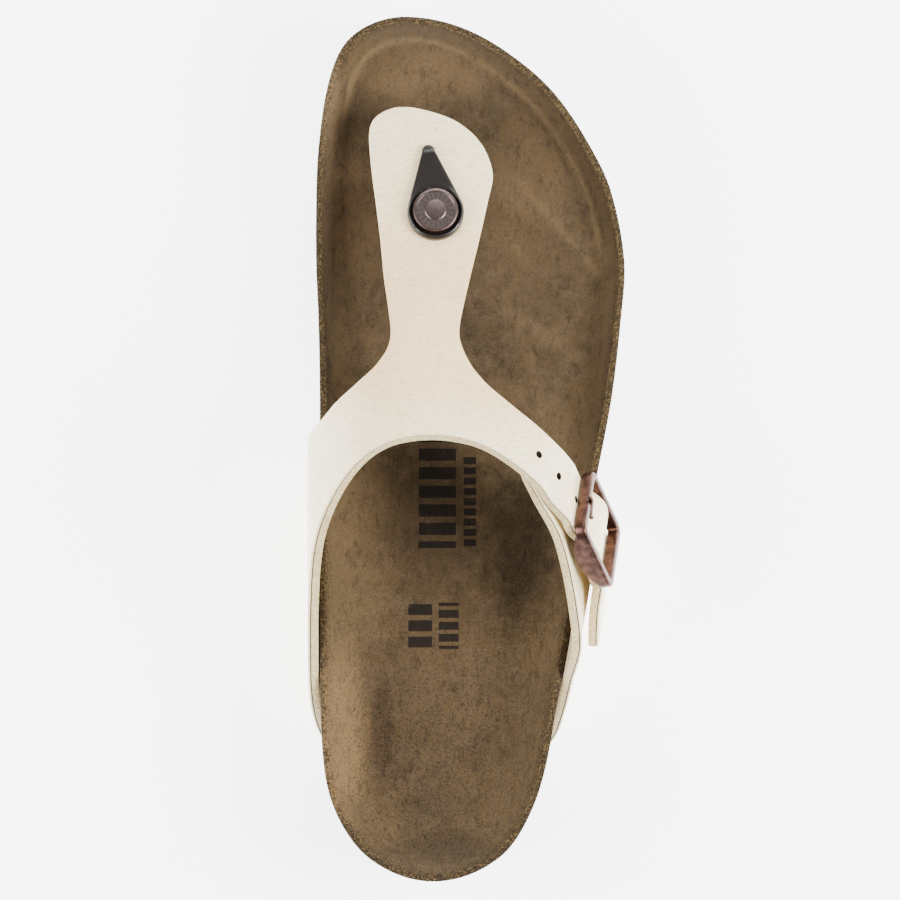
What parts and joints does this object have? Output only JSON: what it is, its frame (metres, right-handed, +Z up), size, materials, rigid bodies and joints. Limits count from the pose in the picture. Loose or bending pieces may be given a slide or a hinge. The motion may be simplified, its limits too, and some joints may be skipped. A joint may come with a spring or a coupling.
{
  "type": "toe post sandal",
  "caption": "Cork-footbed toe post sandal for the right foot: T-shaped strap, side buckle and toe post on a contoured footbed and foam outsole.",
  "frame": {"origin": "on the floor plane, on the flat heel tread under the middle of the heel seat, 30 mm ahead of the footbed's rear end", "axes": "+Y from heel to toe, +X to the outer side of the right foot, +Z up"},
  "size_m": [0.0955, 0.26, 0.0761],
  "materials": {
    "outsole": "black EVA foam, satin",
    "midsole": "ground cork with latex, sealed",
    "footbed_lining": "brown suede",
    "upper_t_strap": "pearl white coated strap, cream felt back",
    "side_strap": "pearl white coated strap, cream felt back",
    "buckle_loop": "pearl white coated strip",
    "buckle_frame": "antique bronze",
    "buckle_prong": "antique bronze",
    "toe_post": "dark brown moulded plastic, satin",
    "post_rivet": "dark grey bronze, satin"
  },
  "bodies": {
    "root": {"outsole": "outsole", "midsole": "midsole", "footbed_lining": "footbed_lining", "upper_t_strap": "upper_t_strap", "side_strap": "side_strap", "buckle_loop": "buckle_loop", "buckle_frame": "buckle_frame", "buckle_prong": "buckle_prong", "toe_post": "toe_post", "post_rivet": "post_rivet"}
  },
  "joints": []
}
